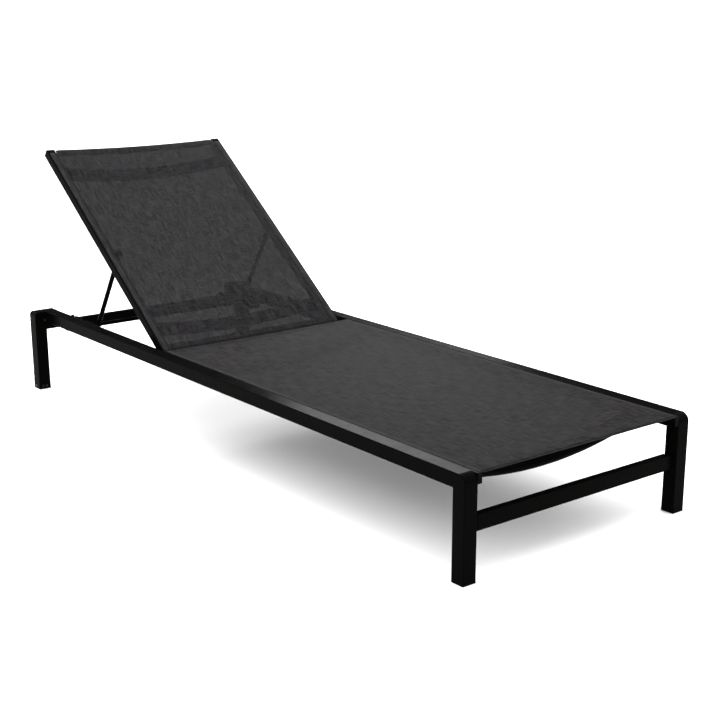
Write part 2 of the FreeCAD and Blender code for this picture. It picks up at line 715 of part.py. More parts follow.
def back_tube(name, side):
    """A side tube; its upper face has the slot that the back's sling is tucked into."""
    body = new_body("back_tube_" + name)
    section = sketch_on(body, PLANE_XZ)
    rectangle(section, 0, 0, d.back_wide * side, d.back_deep)
    run = d.back_length + d.back_tail - d.end_cap * 2
    pad(body, section, run, reverse=True)
    round_edges(body, d.tube_edge, along(1, 100))
    bore = sketch_on(body, PLANE_XZ)
    rod_x, rod_z = (d.back_wide - d.back_slot_in) * side, d.back_deep - ROD_DEEP
    circle(bore, rod_x, rod_z, d.keder_bore / 2)
    pocket(body, bore, None)
    slot = sketch_on(body, PLANE_XZ)
    rectangle(slot, rod_x - d.back_slot_wide / 2, rod_z, rod_x + d.back_slot_wide / 2, d.back_deep + 1)
    pocket(body, slot, None)
    hollow = sketch_on(body, PLANE_XZ)
    rectangle(hollow, d.tube_wall * side, d.tube_wall, (d.back_wide - d.tube_wall) * side, 13)
    pocket(body, hollow, None)
    hole = sketch_on(body, PLANE_YZ)
    pivot_y = d.back_tail - d.end_cap
    circle(hole, pivot_y, d.back_deep / 2, d.pivot_bolt / 2 + d.running_fit)
    pocket(body, hole, None, reverse=side > 0)
    finish(body, back_inner * side, -pivot_y, -HALF_DEEP, back_frame)
    rod = new_body("back_keder_" + name)
    section = sketch_on(rod, PLANE_XZ)
    circle(section, 0, 0, d.keder_rod / 2)
    pad(rod, section, d.back_length - 26, reverse=True)
    finish(rod, (back_inner + d.back_wide - d.back_slot_in) * side, 14, number(rod_z) - HALF_DEEP, back_frame)


def back_caps():
    """Plastic caps on the four open ends of the side tubes."""
    caps = []
    size = (number(d.back_wide), number(d.end_cap), number(d.back_deep))
    for name, side in SIDES:
        x0 = min(side * number(back_inner), side * number(d.back_half))
        for y0 in (number(-d.back_tail), number(d.back_length - d.end_cap)):
            cap = Part.makeBox(*size, Vector(x0, y0, -HALF_DEEP))
            cap = cap.makeFillet(2.0, [e for e in cap.Edges if abs(e.tangentAt(0).y) > 0.9])
            cap.Placement = back_frame.multiply(cap.Placement)
            caps.append(cap)
    group("back_tube_caps", caps)


def back_sling():
    """Fabric over the side tubes, with an edge turned down into each slot."""
    body = new_body("back_sling")
    run = d.back_length - d.sling_short - d.sling_start
    outer = d.back_half - d.back_slot_in + d.cloth / 2
    under = HALF_DEEP + SIDE_PLAY
    top = sketch_on(body, PLANE_XZ, -d.sling_start)
    rectangle(top, -outer, under, outer, under + d.cloth.value)
    pad(body, top, run, reverse=True)
    edges = sketch_on(body, PLANE_XZ, -d.sling_start)
    for sign in (-1, 1):
        rectangle(edges, (outer - d.cloth) * sign, HALF_DEEP - LIP_DEEP, outer * sign, under + d.cloth.value)
    pad(body, edges, run, reverse=True)
    finish(body, frame=back_frame)


def back_spreader(label, along_back):
    """A bowed tube welded between the side tubes, bowing away from the sling."""
    body, radius = bowed_tube(label, back_inner, d.back_bow)
    finish(body, 0, along_back, radius - d.back_bow - d.spreader_off, back_frame)


def stay_bracket(name, side):
    """A lug on the inner face of a side tube; it holds the pin that the stay arm swings on."""
    body = new_body("stay_bracket_" + name)
    lug = sketch_on(body, PLANE_YZ)
    rectangle(lug, -LUG_LONG / 2, -LUG_DEEP / 2, LUG_LONG / 2, LUG_DEEP / 2)
    pad(body, lug, LUG_THICK, reverse=side > 0)
    round_edges(body, LUG_CORNER, along(0, 5))
    hole = sketch_on(body, PLANE_YZ)
    circle(hole, 0, 0, d.pivot_bolt / 2)
    pocket(body, hole, None, reverse=side < 0)
    finish(body, back_inner * side, d.stay_up_back, 0, back_frame)


def bolt(label, shank, head_thick, head_wide, radius, start, direction, frame=None):
    """A turned bolt: head outside the start point, shank along the direction."""
    body = new_body(label)
    round_head = sketch_on(body, PLANE_YZ)
    circle(round_head, 0, 0, head_wide / 2)
    pad(body, round_head, head_thick, reverse=direction > 0)
    rim = -direction * head_thick
    round_edges(body, head_thick * 0.5, lambda a, b: a == b and abs(a.x - rim) < 1e-3)
    stem = sketch_on(body, PLANE_YZ)
    circle(stem, 0, 0, radius)
    pad(body, stem, shank, reverse=direction < 0)
    finish(body, *start, frame=frame)


def pivot_spacer(name, side):
    """A plain bush that keeps the side tube off the rail."""
    body = new_body("pivot_spacer_" + name)
    ring = sketch_on(body, PLANE_YZ)
    circle(ring, 0, 0, d.spacer / 2)
    circle(ring, 0, 0, d.pivot_bolt / 2)
    pad(body, ring, d.channel_wide - SIDE_PLAY, reverse=side > 0)
    finish(body, rail_inner * side, d.pivot_along, d.pivot_high)


# ---------------------------------------------------------------- the stay

def stay_arm(name, side):
    """A round arm with an eye at the top for its pin and a cross hole at the foot for the rod."""
    body = new_body("stay_arm_" + name)
    eye = sketch_on(body, PLANE_YZ)
    circle(eye, 0, 0, d.stay_eye / 2)
    pad(body, eye, d.stay_flat, midplane=True)
    shaft = sketch_on(body, PLANE_XZ, -4)
    circle(shaft, 0, 0, d.stay_tube / 2)
    pad(body, shaft, stay_length - 4, reverse=True)
    foot = sketch_on(body, PLANE_YZ)
    circle(foot, stay_length, 0, d.stay_boss / 2)
    pad(body, foot, d.stay_flat, midplane=True)
    top_hole = sketch_on(body, PLANE_YZ)
    circle(top_hole, 0, 0, d.pivot_bolt / 2 + d.running_fit)
    pocket(body, top_hole, d.stay_tube * 2, midplane=True)
    foot_hole = sketch_on(body, PLANE_YZ)
    circle(foot_hole, stay_length, 0, d.stay_rod / 2)
    pocket(body, foot_hole, d.stay_tube * 2, midplane=True)
    finish(body, d.stay_off * side, 0, 0, stay_frame)


def stay_rod():
    """The rod between the feet of the two arms; its ends stand in the racks' notches."""
    body = new_body("stay_rod")
    section = sketch_on(body, PLANE_YZ)
    circle(section, 0, 0, d.stay_rod / 2)
    pad(body, section, (d.rack_off - ROD_PLAY) * 2, midplane=True)
    finish(body, 0, d.stay_foot_along, d.stay_foot_high)


# ---------------------------------------------------------------- small groups

def rest_buffers():
    """Rubber buffers on the head connectors that carry the side tubes when the back lies flat."""
    top = number(d.pivot_high) - HALF_DEEP - SIDE_PLAY
    start = head_bar[1] + number(d.cross_high) - HEAD_BLOCK[1]
    middle = head_bar[0] + number(d.cross_deep) / 2
    across = number(back_inner) + number(d.back_wide) / 2
    group("rest_buffers", [
        turned(8.0, top - start, (side * across, middle, start), (0, 0, 1)) for name, side in SIDES])


def glide_rivets():
    """Rivets hold each head glide: two in the leg's foot-facing face and one in its outer face."""
    rivets = []
    face = number(leg_face)
    outer = number(leg_outer)
    middle = face + number(d.head_leg_deep) / 2
    for name, side in SIDES:
        for x in FRONT_RIVETS:
            place = (side * (outer - x), face, RIVET_HIGH)
            rivets.append(screw(place, (0, -1, 0), 3.6, 1.4, RIVET_RADIUS, RIVET_DEEP))
        place = (side * outer, middle, RIVET_HIGH)
        rivets.append(screw(place, (side, 0, 0), 3.6, 1.4, RIVET_RADIUS, RIVET_DEEP))
    group("glide_rivets", rivets)


def connector_screws():
    """One screw through each crossbar's rear face, near each end, into the connector's plug."""
    screws = []
    for half, (y, z) in ((d.foot_cross_half, foot_bar), (d.head_cross_half, head_bar)):
        for name, side in SIDES:
            across = side * (number(half) - CONNECTOR_SCREW)
            place = (across, y + number(d.cross_deep), z + number(d.cross_high) / 2)
            screws.append(screw(place, (0, 1, 0), 3.8, 1.8, RIVET_RADIUS, RIVET_DEEP))
    group("connector_screws", screws)


def leg_screws():
    """One screw in the top of each head leg, and the two plugs in the head crossbar's face."""
    face = number(leg_face)
    group("leg_screws", [
        screw((side * (number(rail_inner) + LEG_SCREW[0]), face, LEG_SCREW[1]), (0, -1, 0),
              3.8, 1.8, SCREW_RADIUS, 7.5) for name, side in SIDES])
    group("crossbar_plugs", [
        screw((side * PLUG_SPOT[0], head_bar[0], head_bar[1] + PLUG_SPOT[1]), (0, -1, 0),
              3.8, 1.2, SCREW_RADIUS, 4.0) for name, side in SIDES])


# ---------------------------------------------------------------- assembly

foot_bar = (number(d.cross_recess - half_length), number(d.foot_cross_low))
head_bar = (number(leg_face + d.cross_recess), number(d.head_cross_low))

for name, side in SIDES:
    rail(name, side)
    foot_leg(name, side)
    head_leg(name, side)
    foot_x = rail_inner if side > 0 else -half_span
    glide("foot_glide_" + name, foot_x, -half_length, d.leg_deep)
    head_x = half_span if side > 0 else -leg_outer
    glide("head_glide_" + name, head_x, leg_face, d.head_leg_deep, side)
    connector("foot_connector_" + name, side, d.foot_cross_half, rail_inner, *foot_bar, *FOOT_BLOCK)
    connector("head_connector_" + name, side, d.head_cross_half, half_span, *head_bar, *HEAD_BLOCK)
    channel(name, side)
    rack(name, side)
    pivot_spacer(name, side)
    bolt_start = side * (number(back_inner) - SIDE_PLAY)
    bolt_shank = number(d.back_wide + d.channel_wide) + BOLT_THREAD
    bolt("pivot_bolt_" + name, bolt_shank, 5.0, 15.0, d.pivot_bolt / 2,
         (bolt_start, d.pivot_along, d.pivot_high), side)
    back_tube(name, side)
    stay_bracket(name, side)
    pin_start = side * (number(d.stay_off - d.stay_tube / 2) - SIDE_PLAY)
    pin_shank = number(back_inner) - abs(pin_start)
    bolt("stay_pin_" + name, pin_shank, 3.0, 13.0, d.pivot_bolt / 2,
         (pin_start, d.stay_up_back, 0), side, back_frame)
    stay_arm(name, side)

crossbar("foot_crossbar", d.foot_cross_half, *foot_bar)
crossbar("head_crossbar", d.head_cross_half, *head_bar, plugged=True)
channel_caps()
seat_sling()
seat_spreader("seat_spreader_foot", -d.spreader_foot)
seat_spreader("seat_spreader_head", d.spreader_head)
seat_spreader_screws((-d.spreader_foot, d.spreader_head))
rack_screws()
back_caps()
back_sling()
back_spreader("back_spreader_top", d.spreader_top)
back_spreader("back_spreader_low", d.spreader_low)
stay_rod()
rest_buffers()
glide_rivets()
connector_screws()
leg_screws()

doc.recompute()

# ---------------------------------------------------------------- check and write

for obj in doc.Objects:
    if "Invalid" in obj.State or "Error" in obj.State:
        raise RuntimeError(f"{obj.Name} failed: {obj.State}")
for obj in parts:
    if obj.Shape.isNull() or not obj.Shape.isValid():
        raise RuntimeError(f"{obj.Label} has a bad shape")

os.makedirs("parts", exist_ok=True)
for obj in parts:
    obj.Shape.exportStep(os.path.join("parts", obj.Label + ".step"))
print(len(parts), "sub-parts written; stay length", round(stay_length, 2), "angle", round(stay_angle, 3))
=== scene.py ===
import json
import math

import bpy
from mathutils import Matrix, Vector


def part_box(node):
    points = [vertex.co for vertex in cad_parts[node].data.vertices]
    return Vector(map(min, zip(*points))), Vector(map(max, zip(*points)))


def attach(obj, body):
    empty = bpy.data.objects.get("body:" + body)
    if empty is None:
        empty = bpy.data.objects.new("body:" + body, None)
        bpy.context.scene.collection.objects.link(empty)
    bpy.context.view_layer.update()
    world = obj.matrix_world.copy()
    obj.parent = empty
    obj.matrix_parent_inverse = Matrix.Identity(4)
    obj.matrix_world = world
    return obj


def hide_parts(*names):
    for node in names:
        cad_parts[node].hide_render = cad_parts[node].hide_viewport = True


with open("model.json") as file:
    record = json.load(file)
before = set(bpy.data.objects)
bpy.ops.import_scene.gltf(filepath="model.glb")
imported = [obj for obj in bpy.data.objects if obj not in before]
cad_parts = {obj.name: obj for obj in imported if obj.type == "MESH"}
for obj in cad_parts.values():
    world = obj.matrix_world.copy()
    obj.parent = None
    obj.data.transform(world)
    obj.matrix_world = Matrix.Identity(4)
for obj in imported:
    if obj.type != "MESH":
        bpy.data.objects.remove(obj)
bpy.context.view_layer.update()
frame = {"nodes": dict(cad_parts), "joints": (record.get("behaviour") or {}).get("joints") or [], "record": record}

# A reclining sun lounger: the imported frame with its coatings, and its two slings with their hems and seams.
# Everything is in metres, in the frame's own axes: X across, Y towards the head end, Z up.

nodes = frame["nodes"]
MM = 0.001


# ---------------------------------------------------------------- places taken from the frame

joints = {joint["name"]: joint for joint in frame["joints"]}
pivot = Vector(joints["backrest_recline"]["pos_m"])
stay_pivot = Vector(joints["stay_swing"]["pos_m"])
reach = stay_pivot - pivot
TILT = math.atan2(reach.z, reach.y)
back_frame = Matrix.Translation(pivot) @ Matrix.Rotation(TILT, 4, "X")

seat_low, seat_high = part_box("seat_sling")
channel_low, channel_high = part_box("sling_channel_right")
tube_low, tube_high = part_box("back_tube_right")

BACK_HALF = tube_high.x
BACK_INNER = tube_low.x
BACK_FACE = 12.5 * MM
CLOTH = 1.1 * MM


def on_back(x, along, off):
    """A point given across, up along the back from its pivot, and out from the side tubes' middle."""
    return back_frame @ Vector((x, along, off))


# ---------------------------------------------------------------- node material helpers

class Shader:
    """A material being wired up, with short names for the nodes that it uses."""

    def __init__(self, name):
        self.material = bpy.data.materials.new(name)
        self.material.use_nodes = True
        self.tree = self.material.node_tree
        self.surface = self.tree.nodes["Principled BSDF"]

    def set(self, **values):
        """Put constants on the shader's own sockets, given as socket_name=value."""
        for key, value in values.items():
            self.surface.inputs[key.replace("_", " ")].default_value = value
        return self

    def node(self, kind, inputs=(), **settings):
        made = self.tree.nodes.new(kind)
        for key, value in settings.items():
            setattr(made, key, value)
        for key, value in dict(inputs).items():
            if isinstance(value, bpy.types.NodeSocket):
                self.tree.links.new(value, made.inputs[key])
            else:
                made.inputs[key].default_value = value
        return made

    def math(self, operation, a, b=0.0):
        made = self.node("ShaderNodeMath", {0: a, 1: b}, operation=operation)
        return made.outputs[0]

    def noise(self, vector, scale, detail=2.0, roughness=0.5):
        made = self.node("ShaderNodeTexNoise", {
            "Vector": vector, "Scale": scale, "Detail": detail, "Roughness": roughness})
        return made.outputs["Fac"]

    def ramp(self, value, low, high, to_low=0.0, to_high=1.0):
        """Stretch a value from low..high to another range, and stop at its ends."""
        made = self.node("ShaderNodeMapRange", {
            "Value": value, "From Min": low, "From Max": high, "To Min": to_low, "To Max": to_high})
        return made.outputs["Result"]

    def mix(self, factor, a, b):
        made = self.node("ShaderNodeMix", data_type="RGBA")
        for socket, value in ((made.inputs[0], factor), (made.inputs[6], a), (made.inputs[7], b)):
            if isinstance(value, bpy.types.NodeSocket):
                self.tree.links.new(value, socket)
            else:
                socket.default_value = value
        return made.outputs[2]

    def bump(self, height, strength, distance):
        made = self.node("ShaderNodeBump", {
            "Height": height, "Strength": strength, "Distance": distance})
        self.tree.links.new(made.outputs["Normal"], self.surface.inputs["Normal"])

    def wire(self, socket, name):
        self.tree.links.new(socket, self.surface.inputs[name])

    def object_place(self):
        return self.node("ShaderNodeTexCoord").outputs["Object"]


def grey(value, warm=0.0):
    return (value * (1 + warm), value, value * (1 - warm), 1.0)


# ---------------------------------------------------------------- materials

FABRIC_DARK = (0.0008, 0.0007, 0.0008, 1.0)
FABRIC_LIGHT = (0.0158, 0.0146, 0.0158, 1.0)
# How much light passes each face of the cloth. The back is stretched harder, so its weave is more open.
BACK_THROUGH = 0.080
SEAT_THROUGH = 0.045


def powder_coat(name="powder_coat", shade=0.0010):
    """Black polyester powder coat: a fine orange peel, a little dust, and slightly uneven gloss."""
    made = Shader(name).set(Specular_IOR_Level=0.0055)
    place = made.object_place()
    peel = made.noise(place, 900.0, 2.0)
    broad = made.noise(place, 14.0, 3.0)
    dust = made.ramp(made.noise(place, 55.0, 5.0, 0.65), 0.55, 0.8)
    made.wire(made.mix(made.math("MULTIPLY", dust, 0.35), grey(shade, 0.08), grey(shade * 2.4, 0.12)), "Base Color")
    made.wire(made.ramp(broad, 0.3, 0.7, 0.24, 0.30), "Roughness")
    made.bump(peel, 0.10, 0.0004)
    return made.material


def moulded_plastic(name, shade, grain=1400.0, low=0.42, high=0.55):
    """Moulded polypropylene or nylon with a fine spark-eroded grain."""
    made = Shader(name).set(Specular_IOR_Level=0.015)
    place = made.object_place()
    speckle = made.noise(place, grain, 3.0)
    patches = made.noise(place, 30.0, 2.0)
    made.wire(made.mix(patches, grey(shade * 0.8), grey(shade * 1.25)), "Base Color")
    made.wire(made.ramp(patches, 0.3, 0.7, low, high), "Roughness")
    made.bump(speckle, 0.25, 0.0003)
    return made.material


def blackened_steel():
    """Stainless fixings with a dark finish, rubbed a little bright."""
    made = Shader("blackened_steel").set(Metallic=1.0)
    place = made.object_place()
    rubbed = made.ramp(made.noise(place, 260.0, 4.0, 0.6), 0.45, 0.7)
    made.wire(made.mix(rubbed, grey(0.012), grey(0.05, 0.02)), "Base Color")
    made.wire(made.ramp(rubbed, 0.0, 1.0, 0.42, 0.28), "Roughness")
    made.bump(made.noise(place, 1800.0, 2.0), 0.12, 0.0002)
    return made.material


def rubber():
    made = Shader("buffer_rubber").set(Specular_IOR_Level=0.04)
    place = made.object_place()
    made.wire(made.mix(made.noise(place, 90.0, 3.0), grey(0.0012), grey(0.0025)), "Base Color")
    made.wire(made.ramp(made.noise(place, 400.0, 2.0), 0.3, 0.7, 0.62, 0.8), "Roughness")
    made.bump(made.noise(place, 1600.0, 3.0), 0.3, 0.0003)
    return made.material


def sling_fabric(name, opaque_from, through, seams=()):
    """Plain-woven coated yarn, charcoal, open enough between the yarns to let a little light through.

    The map called cloth holds each point's place on the flat fabric in metres. Beyond opaque_from,
    measured from the middle, the fabric is doubled by its hem and nothing shows through. Along each seam,
    given as its distance from the middle, the cloth is darkened in a narrow line: painted shade in the groove where
    the seam draws it in.
    """
    made = Shader(name).set(Specular_IOR_Level=0.03)
    uv = made.node("ShaderNodeUVMap", uv_map="cloth").outputs["UV"]
    parts = made.node("ShaderNodeSeparateXYZ", {0: uv})
    across, along = parts.outputs[0], parts.outputs[1]

    pitch = 1.25 * MM
    warp = made.math("SINE", made.math("MULTIPLY", across, 2 * math.pi / pitch))
    weft = made.math("SINE", made.math("MULTIPLY", along, 2 * math.pi / pitch))
    ridge = made.math("ADD", made.math("ABSOLUTE", warp), made.math("ABSOLUTE", weft))

    streaks = made.node("ShaderNodeMapping", {"Vector": uv, "Scale": (290.0, 20.0, 1.0)}).outputs[0]
    threads = made.noise(streaks, 1.0, 3.0, 0.65)
    cross_streaks = made.node("ShaderNodeMapping", {"Vector": uv, "Scale": (26.0, 290.0, 1.0)}).outputs[0]
    cross = made.noise(cross_streaks, 1.0, 2.0, 0.5)
    cloudy = made.noise(uv, 7.0, 3.0, 0.55)

    yarns = made.math("ADD", made.math("MULTIPLY", threads, 1.4), made.math("MULTIPLY", cross, 0.6))
    tone = made.ramp(yarns, 0.88, 1.12)
    tone = made.math("ADD", made.math("MULTIPLY", tone, 0.85), made.math("MULTIPLY", cloudy, 0.15))
    tone = made.math("MULTIPLY", tone, made.ramp(ridge, 0.25, 0.75, 0.35, 1.0))
    from_middle = made.math("ABSOLUTE", across)
    tone = made.math("ADD", tone, made.ramp(from_middle, opaque_from - 0.5 * MM, opaque_from + 0.5 * MM, 0.0, 0.3))
    # Painted shade: the cloth is darkened along a narrow line at each seam, for the groove that the seam draws in.
    for seam in seams:
        off_line = made.math("ABSOLUTE", made.math("SUBTRACT", from_middle, seam))
        tone = made.math("MULTIPLY", tone, made.ramp(off_line, 0.7 * MM, 1.9 * MM, 0.0, 1.0))
    made.wire(made.mix(tone, FABRIC_DARK, FABRIC_LIGHT), "Base Color")
    made.wire(made.ramp(threads, 0.3, 0.7, 0.68, 0.82), "Roughness")
    made.bump(made.math("ADD", ridge, made.math("MULTIPLY", threads, 0.8)), 0.20, 0.0002)

    doubled = made.ramp(from_middle, opaque_from - 0.5 * MM, opaque_from + 0.5 * MM, 1.0 - through, 1.0)
    made.wire(doubled, "Alpha")
    return made.material


def hem_fabric():
    """The same fabric where it is folded on itself, so no light comes through."""
    return sling_fabric("sling_hem", 0.0, 0.0)


def thread():
    made = Shader("seam_thread").set(Specular_IOR_Level=0.05)
    place = made.object_place()
    made.wire(made.mix(made.noise(place, 700.0, 2.0), grey(0.005), grey(0.010)), "Base Color")
    made.wire(made.ramp(made.noise(place, 1500.0, 2.0), 0.3, 0.7, 0.5, 0.7), "Roughness")
    made.bump(made.noise(place, 3000.0, 2.0), 0.4, 0.0002)
    return made.material


def studio_floor():
    made = Shader("studio_floor").set(Specular_IOR_Level=0.1)
    place = made.object_place()
    made.wire(made.mix(made.noise(place, 1.5, 2.0), grey(0.86), grey(0.88)), "Base Color")
    made.wire(made.ramp(made.noise(place, 40.0, 2.0), 0.3, 0.7, 0.75, 0.85), "Roughness")
    return made.material


coat = powder_coat()
plastic = moulded_plastic("black_plastic", 0.0009)
looks = {
    "frame_black": coat,
    "black_plastic": plastic,
    "stainless": blackened_steel(),
    "rubber": rubber(),
}
seam_thread = thread()
hem_cloth = hem_fabric()

for part in frame["record"]["subparts"]:
    look = looks.get(part["material_slot"])
    if look:
        for material_slot in nodes[part["node"]].material_slots:
            material_slot.material = look


# ---------------------------------------------------------------- mesh helpers

def add_piece(name, points, faces, body, material, uvs=None):
    """A smooth-shaded mesh piece that rides on a body; uvs has one flat-cloth place for each point."""
    mesh = bpy.data.meshes.new(name)
    mesh.from_pydata([tuple(p) for p in points], [], faces)
    mesh.materials.append(material)
    for face in mesh.polygons:
        face.use_smooth = True
    if uvs:
        layer = mesh.uv_layers.new(name="cloth")
        for loop in mesh.loops:
            layer.data[loop.index].uv = uvs[loop.vertex_index]
    piece = bpy.data.objects.new(name, mesh)
    bpy.context.scene.collection.objects.link(piece)
    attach(piece, body)
    return piece


def grid_faces(rows, columns, closed=False):
    """Quads of a grid of points; closed joins each row's last point to its first."""
    faces = []
    wrap = columns if closed else columns - 1
    for i in range(rows - 1):
        for j in range(wrap):
            k = (j + 1) % columns
            faces.append((i * columns + j, i * columns + k, (i + 1) * columns + k, (i + 1) * columns + j))
    return faces


def cloth_piece(name, grid, uvs, body, material):
    """A sheet of cloth through rows of points, given its thickness equally to both sides."""
    columns = len(grid[0])
    points = [p for row in grid for p in row]
    flat = [uv for row in uvs for uv in row]
    piece = add_piece(name, points, grid_faces(len(grid), columns), body, material, flat)
    thick = piece.modifiers.new("thickness", "SOLIDIFY")
    thick.thickness = CLOTH
    thick.offset = 0.0
    thick.use_even_offset = True
    return piece


def arc(cx, cy, radius, start, stop, steps):
    """Points round an arc; the angles are in degrees, from +X towards +Y."""
    angles = [math.radians(start + (stop - start) * i / steps) for i in range(steps + 1)]
    return [(cx + radius * math.cos(a), cy + radius * math.sin(a)) for a in angles]


def spaced(start, stop, count):
    return [start + (stop - start) * i / count for i in range(count + 1)]


def mirrored(half):
    """A whole section from its right half, which starts in the middle and runs outwards."""
    left = [(-x, y) for x, y in reversed(half[1:])]
    return left + half


def arc_lengths(section):
    """How far each point of a section is from its middle, along the cloth."""
    lengths = [0.0]
    for (x0, y0), (x1, y1) in zip(section, section[1:]):
        lengths.append(lengths[-1] + math.hypot(x1 - x0, y1 - y0))
    half = lengths[-1] / 2
    return [length - half for length in lengths]


def crown(x, half):
    """1 in the middle of a span, falling to 0 at its ends."""
    return max(0.0, 1.0 - (x / half) ** 2)


def ripple(x, y, seed):
    """Faint unevenness of stretched cloth, between -1 and 1."""
    return (math.sin(x * 37.0 + y * 5.3 + seed) * math.sin(y * 11.0 - x * 3.1 + seed * 1.7)
            + 0.5 * math.sin(x * 91.0 + seed * 2.3) * math.sin(y * 23.0 + seed))/1.5


def ring_tube(name, path, radius, body, material, sides=8, ripples=0.0):
    """A tube through a path of points; ripples makes it swell and shrink, as a weld bead does."""
    points = []
    count = len(path)
    for i, p in enumerate(path):
        ahead = (path[min(i + 1, count - 1)] - path[max(i - 1, 0)]).normalized()
        side = ahead.orthogonal() if abs(ahead.z) > 0.95 else ahead.cross(Vector((0, 0, 1)))
        side.normalize()
        up = side.cross(ahead)
        r = radius * (1 + ripples * math.sin(i * 2.1)) * (0.35 if i in (0, count - 1) else 1.0)
        for j in range(sides):
            a = 2 * math.pi * j / sides
            points.append(p + side * math.cos(a) * r + up * math.sin(a) * r)
    faces = grid_faces(count, sides, closed=True)
    faces.append(tuple(range(sides)))
    faces.append(tuple(reversed(range((count - 1) * sides, count * sides))))
    return add_piece(name, points, faces, body, material)


def stitches(name, runs, body, length=3.4 * MM, pitch=4.4 * MM, width=0.7 * MM):
    """Rows of thread stitches. Each run is (points, normals) along the cloth's surface."""
    points, faces = [], []
    ring = 6
    shape = ((-0.5, 0.35), (-0.3, 1.0), (0.3, 1.0), (0.5, 0.35))
    for path, normal in runs:
        travelled = 0.0
        for a, b in zip(path, path[1:]):
            span = (b - a).length
            ahead = (b - a).normalized()
            side = ahead.cross(normal).normalized()
            while travelled < span:
                middle = a + ahead * travelled
                base = len(points)
                for step, fat in shape:
                    for k in range(ring):
                        angle = 2 * math.pi * k / ring
                        offset = side * math.cos(angle) * width / 2 + normal * math.sin(angle) * width / 3
                        points.append(middle + ahead * step * length + offset * fat)
                faces += [tuple(base + v for v in face) for face in grid_faces(len(shape), ring, closed=True)]
                last = base + ring * (len(shape) - 1)
                faces.append(tuple(range(base + ring - 1, base - 1, -1)))
                faces.append(tuple(range(last, last + ring)))
                travelled += pitch
            travelled -= span
    return add_piece(name, points, faces, body, seam_thread)


# ---------------------------------------------------------------- the seat's sling

SEAT_SLOT = (channel_low.x + channel_high.x) / 2 + 1.75 * MM
SEAT_TOP = channel_high.z
SEAT_SAG = 3.0 * MM
SEAT_FOOT = seat_low.y + 1.0 * MM
SEAT_HEAD = seat_high.y
SEAT_CURVE = 3.0 * MM


def seat_section():
    """Half of the seat sling's section: from the middle, over the channel, and down into its slot."""
    over = SEAT_TOP + CLOTH / 2 + 0.15 * MM
    bend = 1.6 * MM
    flat = spaced(0.0, channel_low.x, 26) + spaced(channel_low.x, SEAT_SLOT - bend, 4)[1:]
    section = [(x, over) for x in flat]
    section += arc(SEAT_SLOT - bend, over - bend, bend, 90, 0, 5)[1:]
    section += [(SEAT_SLOT, z) for z in spaced(over - bend, SEAT_TOP - 4.8 * MM, 3)[1:]]
    return mirrored(section)


def seat_end(x, edge, towards_middle):
    """The edge of the cloth, drawn in a little between the channels."""
    return edge + towards_middle * SEAT_CURVE * crown(x, SEAT_SLOT)


def seat_height(x, y, z):
    """The seat's cloth hangs slightly between its channels."""
    length = (y - SEAT_FOOT) / (SEAT_HEAD - SEAT_FOOT)
    sag = SEAT_SAG * (0.55 + 0.45 * math.sin(math.pi * min(1.0, max(0.0, length))))
    span = crown(x, channel_low.x)
    return z - sag * span + 0.25 * MM * ripple(x, y, 0.4) * min(1.0, span * 6)


def seat_sling():
    section = seat_section()
    across = arc_lengths(section)
    grid, uvs = [], []
    for t in spaced(0.0, 1.0, 110):
        row, row_uv = [], []
        for (x, z), u in zip(section, across):
            start, stop = seat_end(x, SEAT_FOOT, 1), seat_end(x, SEAT_HEAD, -1)
            y = start + (stop - start) * t
            row.append(Vector((x, y, seat_height(x, y, z))))
            row_uv.append((u, y))
        grid.append(row)
        uvs.append(row_uv)
    fabric = sling_fabric("sling_seat", channel_low.x - 2 * MM, SEAT_THROUGH)
    cloth = cloth_piece("seat_sling_cloth", grid, uvs, "base", fabric)
    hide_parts("seat_sling")
    hems = [seat_hem("seat_hem_foot", SEAT_FOOT, 1), seat_hem("seat_hem_head", SEAT_HEAD, -1)]
    seams = seat_seams()
    return cloth


def seat_hem(name, edge, inwards):
    """The cloth's end folded under itself, as a second ply with a rounded fold."""
    half = channel_low.x - 2 * MM
    fold = 0.8 * MM
    deep = 24 * MM
    over = SEAT_TOP + CLOTH / 2 + 0.15 * MM
    profile = [(deep, -2 * fold), (deep / 2, -2 * fold), (0.0, -2 * fold)]
    profile += [(-fold * math.sin(a), -fold - fold * math.cos(a)) for a in spaced(0.0, math.pi, 6)[1:]]
    grid, uvs = [], []
    for inset, drop in profile:
        row, row_uv = [], []
        for x in spaced(-half, half, 40):
            y = seat_end(x, edge, inwards) + inwards * inset
            row.append(Vector((x, y, seat_height(x, y, over) + drop)))
            row_uv.append((x, y))
        grid.append(row)
        uvs.append(row_uv)
    return cloth_piece(name, grid, uvs, "base", hem_cloth)


def seat_seams():
    """A row of stitches along each hem."""
    over = SEAT_TOP + CLOTH + 0.25 * MM
    runs = []
    for edge, inwards in ((SEAT_FOOT, 1), (SEAT_HEAD, -1)):
        path = []
        for x in spaced(-channel_low.x, channel_low.x, 60):
            y = seat_end(x, edge, inwards) + inwards * 18 * MM
            path.append(Vector((x, y, seat_height(x, y, over))))
        runs.append((path, Vector((0, 0, 1))))
    return stitches("seat_hem_stitches", runs, "base")


# ---------------------------------------------------------------- the back's sling

back_box_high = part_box("back_sling")[1]
BACK_SLOT = BACK_HALF - 5.8 * MM
BACK_START = -3 * MM
BACK_END = (back_box_high.z - pivot.z) / math.sin(TILT) - 13.5 * MM
BACK_SAG = 4.0 * MM
BACK_CURVE = 7.0 * MM
BACK_SEAMS = (BACK_HALF - 21 * MM, BACK_HALF - 26 * MM)


